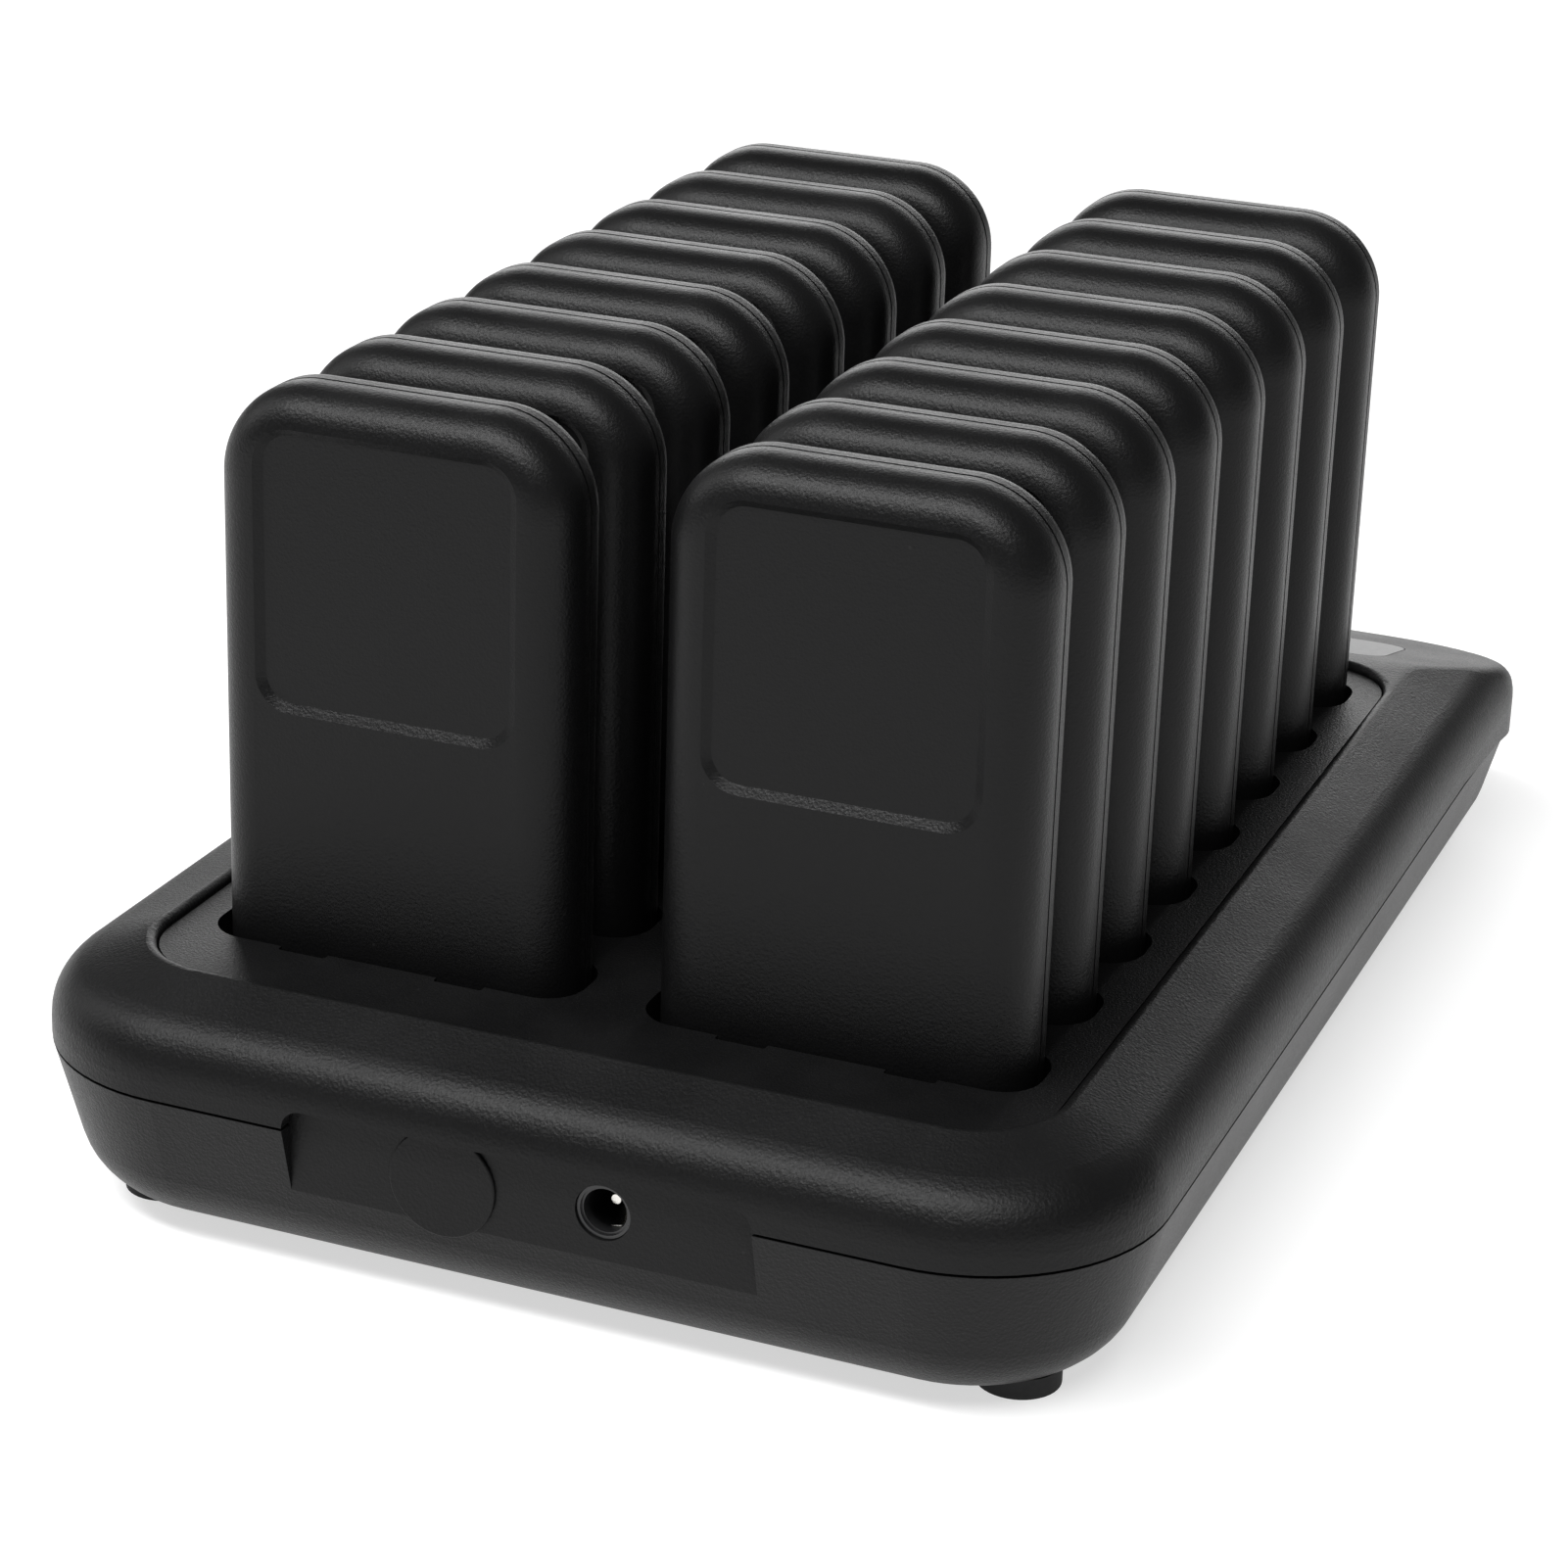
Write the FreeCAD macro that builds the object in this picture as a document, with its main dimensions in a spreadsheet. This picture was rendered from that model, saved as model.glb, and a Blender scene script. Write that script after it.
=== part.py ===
import FreeCAD, Part
import math
import os
import Sketcher

# Charging station with sixteen lift-out pagers, in millimetres.
# Frame: origin on the table under the middle of the case, +Z up, +X to the right,
# -Y towards the front, where the power socket is.

SIZES = [
    # Case
    ("case_width", 167.4, "case, outside, left to right"),
    ("case_length", 261.0, "case, outside, front to back"),
    ("case_corner", 28.0, "corner radius of the case in plan"),
    ("bottom", 2.0, "level of the case bottom"),
    ("foot_height", 3.0, "rubber foot, let into the case by a third"),
    ("foot_radius", 6.0, "rubber foot"),
    ("foot_x", 66.0, "feet, from the centre line"),
    ("foot_y", 109.0, "feet, from the middle"),
    ("seam_height", 25.3, "seam between the case halves at the front"),
    ("seam_gap", 0.45, "open gap at the seam"),
    ("seam_bend_a", 70.0, "where the seam starts to dip towards the back"),
    ("seam_bend_b", 95.0, "where the seam reaches its full slope"),
    ("seam_slope", 8.0, "full slope of the seam, degrees"),
    ("crest_height", 39.5, "highest level of the case"),
    ("bezel_slope", 20.0, "fall of the bezel from the tray outwards, degrees"),
    ("roll_radius", 9.0, "rounding between the bezel and the side walls"),
    ("crest_radius", 4.0, "rounding between the top and the bezel"),
    ("side_draft", 15.0, "slope of the sides below the seam, degrees"),
    ("belly_radius", 12.0, "rounding of the bottom edge"),
    ("wall", 2.5, "wall of the lower case and the top plate"),
    ("upper_wall", 2.2, "side wall of the upper case"),
    ("lip_inset", 2.4, "locating lip, in from the outside"),
    ("lip_wall", 1.5, "thickness of the locating lip"),
    ("lip_rise", 2.0, "how far the lip stands above the seam"),
    ("lip_root", 6.3, "how far the lip reaches below the seam"),
    ("deck_start", 84.0, "where the rear deck starts to slope"),
    ("deck_angle", 14.0, "slope of the rear deck, degrees"),
    ("deck_blend", 30.0, "radius where the top turns into the deck"),
    # Window in the rear deck
    ("window_width", 126.0, "window plate, left to right"),
    ("window_depth", 26.0, "window plate, along the slope"),
    ("window_inset", 17.6, "window plate centre, down the slope"),
    ("window_corner", 6.0, "corner radius of the window plate"),
    ("window_thick", 1.2, "thickness of the window plate"),
    # Tray
    ("tray_width", 136.4, "tray opening, left to right"),
    ("tray_length", 196.6, "tray opening, front to back"),
    ("tray_middle", -17.2, "middle of the tray opening"),
    ("tray_corner", 12.5, "corner radius of the tray opening"),
    ("tray_gap", 0.3, "gap round the tray"),
    ("tray_sink", 1.2, "tray surface below the crest"),
    ("tray_plate", 1.8, "tray plate above its flange"),
    ("flange", 1.2, "tray flange under the top plate"),
    ("flange_thick", 2.0, "thickness of the tray flange"),
    # Slots
    ("rows", 8, "slots in each column"),
    ("row_pitch", 23.1, "from slot to slot"),
    ("first_row", -94.85, "middle of the front slots"),
    ("column_x", 34.0, "middle of a column, from the centre line"),
    ("slot_length", 58.2, "slot, left to right"),
    ("slot_width", 14.8, "slot, front to back"),
    ("slot_corner", 6.0, "corner radius of a slot"),
    ("slot_floor", 19.8, "level of the slot floor"),
    ("well_wall", 1.3, "wall round a slot, under the tray"),
    ("floor_thick", 1.2, "floor of a slot"),
    ("notch_x", 12.4, "notches in the front edge, from the slot centre"),
    ("notch_width", 7.5, "notch, left to right"),
    ("notch_depth", 1.2, "notch, front to back"),
    # Pager
    ("pager_width", 55.0, "pager, left to right"),
    ("pager_height", 100.0, "pager, bottom to top"),
    ("pager_bottom", 20.9, "level of a pager's bottom when docked"),
    ("pager_back", 1.89, "pager seam, behind the slot centre"),
    ("pager_corner", 13.8, "corner radius of a pager"),
    ("front_depth", 8.5, "front shell, seam to front face"),
    ("rear_depth", 4.7, "rear shell, seam to back face"),
    ("front_round", 7.0, "rounding of the front edge"),
    ("rear_round", 3.0, "rounding of the back edge"),
    ("groove", 0.25, "half of the groove at the pager seam"),
    ("groove_depth", 0.5, "depth of the groove at the pager seam"),
    ("shell_wall", 1.8, "wall of the pager shells"),
    ("recess_width", 40.4, "recess in the front face, outer edge"),
    ("recess_height", 42.0, "recess in the front face, outer edge"),
    ("recess_middle", 74.0, "middle of the recess above the pager's bottom"),
    ("recess_corner", 5.5, "corner radius of the recess"),
    ("recess_depth", 0.9, "depth of the recess"),
    ("recess_wall_angle", 55.0, "slope of the recess walls, degrees"),
    # Inside a pager
    ("pcb_width", 44.0, "pager board"),
    ("pcb_height", 78.0, "pager board"),
    ("pcb_thick", 1.0, "pager board"),
    ("pcb_front", 1.7, "front of the pager board, behind the seam"),
    ("cell_width", 34.0, "battery"),
    ("cell_height", 36.0, "battery"),
    ("cell_thick", 5.0, "battery"),
    ("cell_middle", 31.0, "middle of the battery"),
    ("motor_radius", 2.2, "vibration motor"),
    ("motor_length", 11.0, "vibration motor"),
    ("motor_level", 56.0, "vibration motor, above the pager's bottom"),
    ("buzzer_radius", 8.0, "buzzer"),
    ("buzzer_level", 72.0, "buzzer, above the pager's bottom"),
    ("buzzer_thick", 3.2, "buzzer"),
    ("pad_x", 12.4, "charging pads, from the middle"),
    ("pad_y", 0.9, "charging pads, behind the seam"),
    ("pad_width", 5.0, "charging pad"),
    ("pad_depth", 1.2, "charging pad"),
    ("pad_thick", 0.6, "charging pad"),
    ("shell_screw_x", 17.0, "shell screws, from the middle"),
    ("shell_screw_low", 8.0, "lower shell screws"),
    ("shell_screw_high", 92.0, "upper shell screws"),
    ("shell_screw_radius", 0.9, "shell screw thread"),
    ("shell_head_radius", 1.7, "shell screw head"),
    ("shell_head_thick", 1.0, "shell screw head"),
    ("shell_post_radius", 2.4, "screw post inside the front shell"),
    # Socket panel
    ("panel_width", 70.0, "socket panel, left to right"),
    ("panel_plane", 127.7, "socket panel, in front of the middle"),
    ("panel_top", 28.3, "top of the opening for the socket panel"),
    ("panel_corner", 3.0, "corner radius of the opening"),
    ("panel_gap", 0.3, "gap round the socket panel"),
    ("jack_x", 12.3, "power socket"),
    ("jack_height", 21.7, "power socket"),
    ("jack_hole", 4.1, "radius of the hole for the power socket"),
    ("jack_bore", 3.2, "radius of the socket's bore"),
    ("jack_pin", 0.7, "radius of the socket's centre pin"),
    ("jack_width", 9.0, "power socket housing"),
    ("jack_length", 14.0, "power socket housing"),
    ("jack_top", 26.4, "top of the power socket housing"),
    ("plug_x", -11.6, "blanking plug"),
    ("plug_height", 20.9, "blanking plug"),
    ("plug_radius", 8.0, "flange of the blanking plug"),
    ("plug_stem", 6.5, "stem of the blanking plug"),
    ("plug_proud", 0.5, "flange thickness of the blanking plug"),
    # Inside the case
    ("board_width", 128.0, "charging board"),
    ("board_length", 220.0, "charging board"),
    ("board_middle", -14.0, "middle of the charging board"),
    ("board_bottom", 15.0, "underside of the charging board"),
    ("board_thick", 1.6, "charging board"),
    ("board_corner", 8.0, "corner radius of the charging board"),
    ("pin_radius", 0.7, "spring pin, tip"),
    ("pin_barrel", 1.2, "spring pin, barrel"),
    ("pin_hole", 1.6, "hole in the slot floor for a spring pin"),
    ("pin_gap", 0.3, "spring pin below the pager's pad"),
    ("post_radius", 3.2, "posts for the board"),
    ("post_x", 50.0, "posts for the board"),
    ("board_screw", 1.3, "board screw thread"),
    ("board_head", 2.6, "board screw head"),
    ("board_head_thick", 1.5, "board screw head"),
    ("boss_radius", 4.2, "screw boss of the lower case"),
    ("upper_boss", 3.0, "screw boss of the upper case"),
    ("boss_split", 21.0, "level where the bosses meet"),
    ("boss_rise", 14.9, "height of the upper bosses, up into the roof"),
    ("case_screw", 1.4, "case screw thread"),
    ("case_head", 2.7, "case screw head"),
    ("case_head_level", 9.0, "level of the case screw heads"),
]

doc = FreeCAD.newDocument("charging_station")
sheet = doc.addObject("Spreadsheet::Sheet", "Sizes")
for row, (alias, number, note) in enumerate(SIZES, start=1):
    sheet.set(f"A{row}", note)
    sheet.set(f"B{row}", str(number))
    sheet.setAlias(f"B{row}", alias)
doc.recompute()

NODES = []
X_AXIS = FreeCAD.Vector(1, 0, 0)
Z_AXIS = FreeCAD.Vector(0, 0, 1)


def size(expression):
    """Return the value of an expression over the sheet."""
    return float(sheet.evalExpression(expression))


def S(text):
    """Put the sheet's name before each word of an expression that is an alias."""
    words = []
    for word in text.split():
        words.append(f"Sizes.{word}" if word.strip("()") in ALIASES else word)
    return " ".join(words)


ALIASES = {alias for alias, number, note in SIZES}


# ---------------------------------------------------------------- sketches

def new_body(label):
    """Start the PartDesign body of one node."""
    body = doc.addObject("PartDesign::Body", label)
    body.Label = label
    NODES.append(body)
    return body


def new_sketch(body, name, plane="XY_Plane", level="0"):
    """Attach a sketch to one of the body's planes, raised to a level along its normal."""
    sketch = body.newObject("Sketcher::SketchObject", name)
    support = next(item for item in body.Origin.OriginFeatures if item.Role == plane)
    sketch.AttachmentSupport = [(support, "")]
    sketch.MapMode = "FlatFace"
    sketch.setExpression("AttachmentOffset.Base.z", S(level))
    return sketch


def bind(sketch, constraint, expression):
    """Add a dimension to the sketch and bind it to the sheet."""
    index = sketch.addConstraint(constraint)
    sketch.setExpression(f"Constraints[{index}]", S(expression))


def locate(sketch, geometry, point, x, y):
    """Fix a point of the sketch at a place given by two expressions."""
    for kind, expression in (("DistanceX", x), ("DistanceY", y)):
        value = size(S(expression))
        if abs(value) < 1e-9:
            axis = -2 if kind == "DistanceX" else -1
            sketch.addConstraint(Sketcher.Constraint("PointOnObject", geometry, point, axis))
        else:
            bind(sketch, Sketcher.Constraint(kind, -1, 1, geometry, point, value), expression)


def draw_rectangle(sketch, width, height, radius, x="0", y="0"):
    """Draw a rounded rectangle about a centre; every argument is an expression."""
    half_w, half_h = size(S(f"( {width} ) / 2")), size(S(f"( {height} ) / 2"))
    r, cx, cy = size(S(radius)), size(S(x)), size(S(y))
    inner_x, inner_y = half_w - r, half_h - r
    sides = [
        ((-inner_x, -half_h), (inner_x, -half_h)),
        ((half_w, -inner_y), (half_w, inner_y)),
        ((inner_x, half_h), (-inner_x, half_h)),
        ((-half_w, inner_y), (-half_w, -inner_y)),
    ]
    corners = [
        (inner_x, -inner_y, -90),
        (inner_x, inner_y, 0),
        (-inner_x, inner_y, 90),
        (-inner_x, -inner_y, 180),
    ]
    lines, arcs = [], []
    for start, end in sides:
        start = FreeCAD.Vector(cx + start[0], cy + start[1], 0)
        end = FreeCAD.Vector(cx + end[0], cy + end[1], 0)
        lines.append(sketch.addGeometry(Part.LineSegment(start, end)))
    for x_at, y_at, turn in corners:
        circle = Part.Circle(FreeCAD.Vector(cx + x_at, cy + y_at, 0), Z_AXIS, r)
        turn = math.radians(turn)
        arcs.append(sketch.addGeometry(Part.ArcOfCircle(circle, turn, turn + math.pi / 2)))
    for i in range(4):
        sketch.addConstraint(Sketcher.Constraint("Tangent", lines[i], 2, arcs[i], 1))
        sketch.addConstraint(Sketcher.Constraint("Tangent", arcs[i], 2, lines[(i + 1) % 4], 1))
    for i in range(1, 4):
        sketch.addConstraint(Sketcher.Constraint("Equal", arcs[0], arcs[i]))
    sketch.addConstraint(Sketcher.Constraint("Horizontal", lines[0]))
    sketch.addConstraint(Sketcher.Constraint("Vertical", lines[1]))
    bind(sketch, Sketcher.Constraint("Radius", arcs[0], r), radius)
    bind(sketch, Sketcher.Constraint("DistanceX", lines[3], 1, lines[1], 1, 2 * half_w), width)
    bind(sketch, Sketcher.Constraint("DistanceY", lines[0], 1, lines[2], 1, 2 * half_h), height)
    right, top = cx + half_w, cy + half_h
    bind(sketch, Sketcher.Constraint("DistanceX", -1, 1, lines[1], 1, right), f"{x} + ( {width} ) / 2")
    bind(sketch, Sketcher.Constraint("DistanceY", -1, 1, lines[2], 1, top), f"{y} + ( {height} ) / 2")


def draw_circle(sketch, radius, x, y):
    """Draw a circle about a centre; every argument is an expression."""
    centre = FreeCAD.Vector(size(S(x)), size(S(y)), 0)
    circle = sketch.addGeometry(Part.Circle(centre, Z_AXIS, size(S(radius))))
    bind(sketch, Sketcher.Constraint("Radius", circle, size(S(radius))), radius)
    locate(sketch, circle, 3, x, y)


def draw_polygon(sketch, points):
    """Draw a closed outline through points that are pairs of expressions."""
    places = [FreeCAD.Vector(size(S(x)), size(S(y)), 0) for x, y in points]
    first = sketch.GeometryCount
    for i, place in enumerate(places):
        sketch.addGeometry(Part.LineSegment(place, places[(i + 1) % len(places)]))
    for i in range(len(points)):
        following = first + (i + 1) % len(points)
        sketch.addConstraint(Sketcher.Constraint("Coincident", first + i, 2, following, 1))
    for i, (x, y) in enumerate(points):
        locate(sketch, first + i, 1, x, y)


# ---------------------------------------------------------------- features

def pad(body, name, sketch, length, reverse=False):
    """Add material from a sketch along its normal."""
    feature = body.newObject("PartDesign::Pad", name)
    feature.Profile = sketch
    feature.Reversed = reverse
    feature.setExpression("Length", S(length))
    doc.recompute()
    return feature


def pocket(body, name, sketch, length, reverse=False, midplane=False):
    """Cut a sketch away and make sure that it took material off."""
    before = body.Shape.Volume
    feature = body.newObject("PartDesign::Pocket", name)
    feature.Profile = sketch
    feature.Reversed = reverse
    feature.Midplane = midplane
    feature.setExpression("Length", S(length))
    doc.recompute()
    if body.Shape.Volume >= before - 1e-3:
        raise RuntimeError(f"{body.Label}: {name} cuts nothing")
    return feature


def fillet(body, name, radius, chosen):
    """Round the edges for which the test is true."""
    names = [f"Edge{i}" for i, edge in enumerate(body.Shape.Edges, start=1) if chosen(edge)]
    if not names:
        raise RuntimeError(f"{body.Label}: {name} finds no edge")
    base = body.Tip
    feature = body.newObject("PartDesign::Fillet", name)
    feature.Base = (base, names)
    feature.setExpression("Radius", S(radius))
    doc.recompute()
    return feature


def hollow(body, name, wall, open_level):
    """Leave a wall of even thickness inside the body, open at the face on one level."""
    level = size(S(open_level))
    names = [f"Face{i}" for i, face in enumerate(body.Shape.Faces, start=1)
             if abs(face.CenterOfMass.z - level) < 0.01]
    base = body.Tip
    feature = body.newObject("PartDesign::Thickness", name)
    feature.Base = (base, names)
    feature.Reversed = True
    feature.setExpression("Value", S(wall))
    doc.recompute()
    return feature


def middle_of(edge):
    """Return the point halfway along an edge."""
    return edge.valueAt((edge.FirstParameter + edge.LastParameter) / 2)


def is_level(edge, z):
    """Tell whether both ends and the middle of an edge are at one level."""
    points = [vertex.Point for vertex in edge.Vertexes] + [middle_of(edge)]
    return all(abs(point.z - z) < 0.01 for point in points)


def outline_distance(point, half_x, half_y, radius, middle_y=0.0):
    """Return how far a point lies outside a rounded rectangle in plan."""
    across = abs(point.x) - (half_x - radius)
    along = abs(point.y - middle_y) - (half_y - radius)
    return math.hypot(max(across, 0), max(along, 0)) - radius


def rim_of_top(shape):
    """Return the edges round the faces that look up, leaving out those between two such faces."""
    rim = []
    for face in shape.Faces:
        middle = face.Surface.parameter(face.CenterOfMass)
        if face.normalAt(*middle).z < math.cos(math.radians(20)):
            continue
        for edge in face.Edges:
            shared = [other for other in rim if other.isSame(edge)]
            rim = [other for other in rim if not other.isSame(edge)]
            if not shared:
                rim.append(edge)
    return rim


def is_vertical(edge):
    """Tell whether an edge runs straight up."""
    box = edge.BoundBox
    return box.XLength < 0.01 and box.YLength < 0.01


# ---------------------------------------------------------------- case

DRAFT_START = "( seam_height - seam_gap / 2 )"
BEZEL_RISE = "( ( case_width - tray_width ) / 2 - tray_sink ) * tan( bezel_slope * 1 deg )"
BACK = "( case_length / 2 + 5 )"
SEAM_B_DROP = "( seam_bend_b - seam_bend_a ) * tan( seam_slope * 1 deg / 2 )"
SEAM_BACK_DROP = f"{SEAM_B_DROP} + ( {BACK} - seam_bend_b ) * tan( seam_slope * 1 deg )"


def seam_dip(shift):
    """Return the points of the seam from its first bend to the back, moved up by shift."""
    return [
        ("seam_bend_a", f"seam_height + {shift}"),
        ("seam_bend_b", f"seam_height + {shift} - {SEAM_B_DROP}"),
        (BACK, f"seam_height + {shift} - ( {SEAM_BACK_DROP} )"),
    ]


def draw_seam(sketch, shift, outer):
    """Draw the side view between the seam, moved up by shift, and the level outer."""
    front = f"0 - {BACK}"
    draw_polygon(sketch, [(front, f"seam_height + {shift}")] + seam_dip(shift)
                 + [(BACK, outer), (front, outer)])


def give_draft(feature):
    """Narrow a pad or a pocket away from its sketch by the draft of the sides."""
    feature.TaperAngle = -size(S("side_draft"))
    doc.recompute()


def draw_case_outline(sketch, inset):
    """Draw the plan of the case, moved in by inset."""
    draw_rectangle(sketch, f"case_width - 2 * {inset}", f"case_length - 2 * {inset}",
                   f"case_corner - {inset}")


BOSSES = (("74.2", "0 - 100"), ("74.2", "0 - 15"), ("50", "105"))
POSTS = ("0 - 83.3", "9.1", "75.8")
FEET = (("foot_x", "foot_y"), ("foot_x", "0 - foot_y"))


def draw_circles(sketch, radius, places):
    """Draw a circle at each place and at its mirror image."""
    for x, y in places:
        draw_circle(sketch, radius, x, y)
        draw_circle(sketch, radius, f"0 - {x}", y)


def make_lower_case():
    """Lower half: rounded belly, locating lip, bosses, posts and the socket panel."""
    body = new_body("lower_case")
    sketch = new_sketch(body, "LowerOutline", level=DRAFT_START)
    draw_case_outline(sketch, "0")
    give_draft(pad(body, "LowerBlock", sketch, f"{DRAFT_START} - bottom", reverse=True))
    sketch = new_sketch(body, "LowerInside", level=DRAFT_START)
    draw_case_outline(sketch, "wall")
    give_draft(pocket(body, "LowerHollow", sketch, f"{DRAFT_START} - bottom - wall"))
    bottom, floor = size(S("bottom")), size(S("bottom + wall"))
    fillet(body, "InnerBelly", "( belly_radius - wall )", lambda edge: is_level(edge, floor))
    fillet(body, "Belly", "belly_radius", lambda edge: is_level(edge, bottom))
    sketch = new_sketch(body, "LowerSeam", "YZ_Plane")
    draw_seam(sketch, "0 - seam_gap", "crest_height + 10")
    pocket(body, "LowerTrim", sketch, "case_width + 10", midplane=True)
    sketch = new_sketch(body, "LipOutline", level="seam_height - lip_root")
    draw_case_outline(sketch, "lip_inset")
    draw_case_outline(sketch, "( lip_inset + lip_wall )")
    pad(body, "Lip", sketch, "lip_root + lip_rise + 1")
    sketch = new_sketch(body, "LipTop", "YZ_Plane")
    level_top = [(f"0 - {BACK}", "seam_height + lip_rise"), ("seam_bend_a", "seam_height + lip_rise")]
    outside = [(BACK, "crest_height"), (f"0 - {BACK}", "crest_height")]
    draw_polygon(sketch, level_top + seam_dip("0 - seam_gap") + outside)
    pocket(body, "LipTrim", sketch, "case_width + 10", midplane=True)
    sketch = new_sketch(body, "Posts", level="bottom + wall / 2")
    draw_circles(sketch, "post_radius", [("post_x", y) for y in POSTS])
    pad(body, "BoardPosts", sketch, "board_bottom - bottom - wall / 2")
    sketch = new_sketch(body, "BossOutline", level="case_head_level")
    draw_circles(sketch, "boss_radius", BOSSES)
    pad(body, "Bosses", sketch, "boss_split - case_head_level")
    sketch = new_sketch(body, "RearBossOutline", level="bottom + wall / 2")
    draw_circles(sketch, "boss_radius", BOSSES[2:])
    pad(body, "RearBosses", sketch, "case_head_level - bottom - wall / 2")
    sketch = new_sketch(body, "BossHoles", level="boss_split")
    draw_circles(sketch, "case_screw + 0.2", BOSSES)
    pocket(body, "ScrewHoles", sketch, "boss_split")
    sketch = new_sketch(body, "HeadHoles", level="case_head_level")
    draw_circles(sketch, "case_head + 0.3", BOSSES)
    pocket(body, "HeadRecesses", sketch, "case_head_level")
    sketch = new_sketch(body, "PostHoles", level="board_bottom")
    draw_circles(sketch, "board_screw", [("post_x", y) for y in POSTS])
    pocket(body, "PostPilots", sketch, "board_bottom - bottom - wall")
    sketch = new_sketch(body, "FootSeats", level="foot_height")
    draw_circles(sketch, "foot_radius + 0.2", FEET)
    pocket(body, "Seats", sketch, "foot_height")
    sketch = new_sketch(body, "PanelCut", "XZ_Plane", "panel_plane")
    draw_rectangle(sketch, "panel_width", "60", "panel_corner", y="panel_top - 30")
    pocket(body, "PanelRecess", sketch, "20", reverse=True)
    sketch = new_sketch(body, "PanelTab", "XZ_Plane", "panel_plane")
    draw_rectangle(sketch, "panel_width - 2 * panel_gap", "13", "panel_corner",
                   y="panel_top - panel_gap - 6.5")
    pad(body, "Panel", sketch, "wall", reverse=True)
    sketch = new_sketch(body, "PanelHoles", "XZ_Plane", "panel_plane - wall - 2")
    draw_circle(sketch, "jack_hole", "jack_x", "jack_height")
    draw_circle(sketch, "plug_stem", "plug_x", "plug_height")
    pocket(body, "PanelBores", sketch, "wall + 4", reverse=True)
    return body


def make_upper_case():
    """Upper half: rolled edge, sloping rear deck, tray opening and window seat."""
    body = new_body("upper_case")
    rim = f"( {BEZEL_RISE} )"
    sketch = new_sketch(body, "UpperOutline", level="seam_height / 2")
    draw_case_outline(sketch, "0")
    pad(body, "UpperBlock", sketch, f"crest_height - {rim} - seam_height / 2")
    sketch = new_sketch(body, "BezelOutline", level=f"crest_height - {rim}")
    draw_case_outline(sketch, "0")
    slope = pad(body, "BezelSlope", sketch, rim)
    slope.TaperAngle = size(S("bezel_slope")) - 90
    doc.recompute()
    rim_level = size(S(f"crest_height - {rim}"))
    fillet(body, "Roll", "roll_radius", lambda edge: is_level(edge, rim_level))
    sketch = new_sketch(body, "DeckSide", "YZ_Plane")
    draw_polygon(sketch, [
        ("deck_start", "crest_height"),
        (BACK, f"crest_height - ( {BACK} - deck_start ) * tan( deck_angle * 1 deg )"),
        (BACK, "crest_height + 5"),
        ("deck_start", "crest_height + 5"),
    ])
    pocket(body, "DeckSlope", sketch, "case_width + 10", midplane=True)
    start, crest = size(S("deck_start")), size(S("crest_height"))
    fillet(body, "DeckBlend", "deck_blend",
           lambda edge: is_level(edge, crest) and abs(middle_of(edge).y - start) < 0.01)
    top_edges = rim_of_top(body.Shape)
    fillet(body, "Crest", "crest_radius", lambda edge: any(edge.isSame(other) for other in top_edges))
    hollow(body, "UpperShell", "upper_wall", "seam_height / 2")
    sketch = new_sketch(body, "UpperSeam", "YZ_Plane")
    draw_seam(sketch, "0", "0")
    pocket(body, "UpperTrim", sketch, "case_width + 10", midplane=True)
    sketch = new_sketch(body, "TrayOpening", level="crest_height + 1")
    draw_rectangle(sketch, "tray_width", "tray_length", "tray_corner", y="tray_middle")
    pocket(body, "Opening", sketch, "2 * wall")
    half_w, half_l = size(S("tray_width / 2")), size(S("tray_length / 2"))
    tray_r, tray_y = size(S("tray_corner")), size(S("tray_middle"))
    fillet(body, "OpeningEdge", "tray_sink",
           lambda edge: not is_vertical(edge) and middle_of(edge).z > crest - 1
           and abs(outline_distance(middle_of(edge), half_w, half_l, tray_r, tray_y)) < 0.01)
    sketch = new_sketch(body, "UpperBossOutline", level="boss_split")
    draw_circles(sketch, "upper_boss", BOSSES)
    pad(body, "UpperBosses", sketch, "boss_rise")
    sketch = new_sketch(body, "UpperBossHoles", level="boss_split")
    draw_circles(sketch, "case_screw", BOSSES)
    pocket(body, "PilotHoles", sketch, "8", reverse=True)
    sketch = new_sketch(body, "PanelOpening", "XZ_Plane", "panel_plane - 6")
    draw_rectangle(sketch, "panel_width", "40", "panel_corner", y="panel_top - 20")
    pocket(body, "PanelMouth", sketch, "20", reverse=True)
    sketch = deck_sketch(body, "WindowSeat", "0 - window_thick")
    draw_rectangle(sketch, "window_width", "window_depth", "window_corner")
    pocket(body, "Seat", sketch, "window_thick + 3", reverse=True)
    return body


def deck_sketch(body, name, rise):
    """Attach a sketch to the sloping deck, centred on the window."""
    sketch = new_sketch(body, name)
    angle = size(S("deck_angle"))
    sketch.AttachmentOffset = FreeCAD.Placement(FreeCAD.Vector(), FreeCAD.Rotation(X_AXIS, -angle))
    cosine, sine = "cos( deck_angle * 1 deg )", "sin( deck_angle * 1 deg )"
    back = f"deck_start + window_inset * {cosine} + ( {rise} ) * {sine}"
    level = f"crest_height - window_inset * {sine} + ( {rise} ) * {cosine}"
    sketch.setExpression("AttachmentOffset.Base.y", S(back))
    sketch.setExpression("AttachmentOffset.Base.z", S(level))
    return sketch


def make_window():
    """Smooth plate let into the rear deck."""
    body = new_body("deck_window")
    sketch = deck_sketch(body, "WindowOutline", "0 - window_thick")
    draw_rectangle(sketch, "window_width - 0.4", "window_depth - 0.4", "window_corner - 0.2")
    pad(body, "WindowPlate", sketch, "window_thick")


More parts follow.
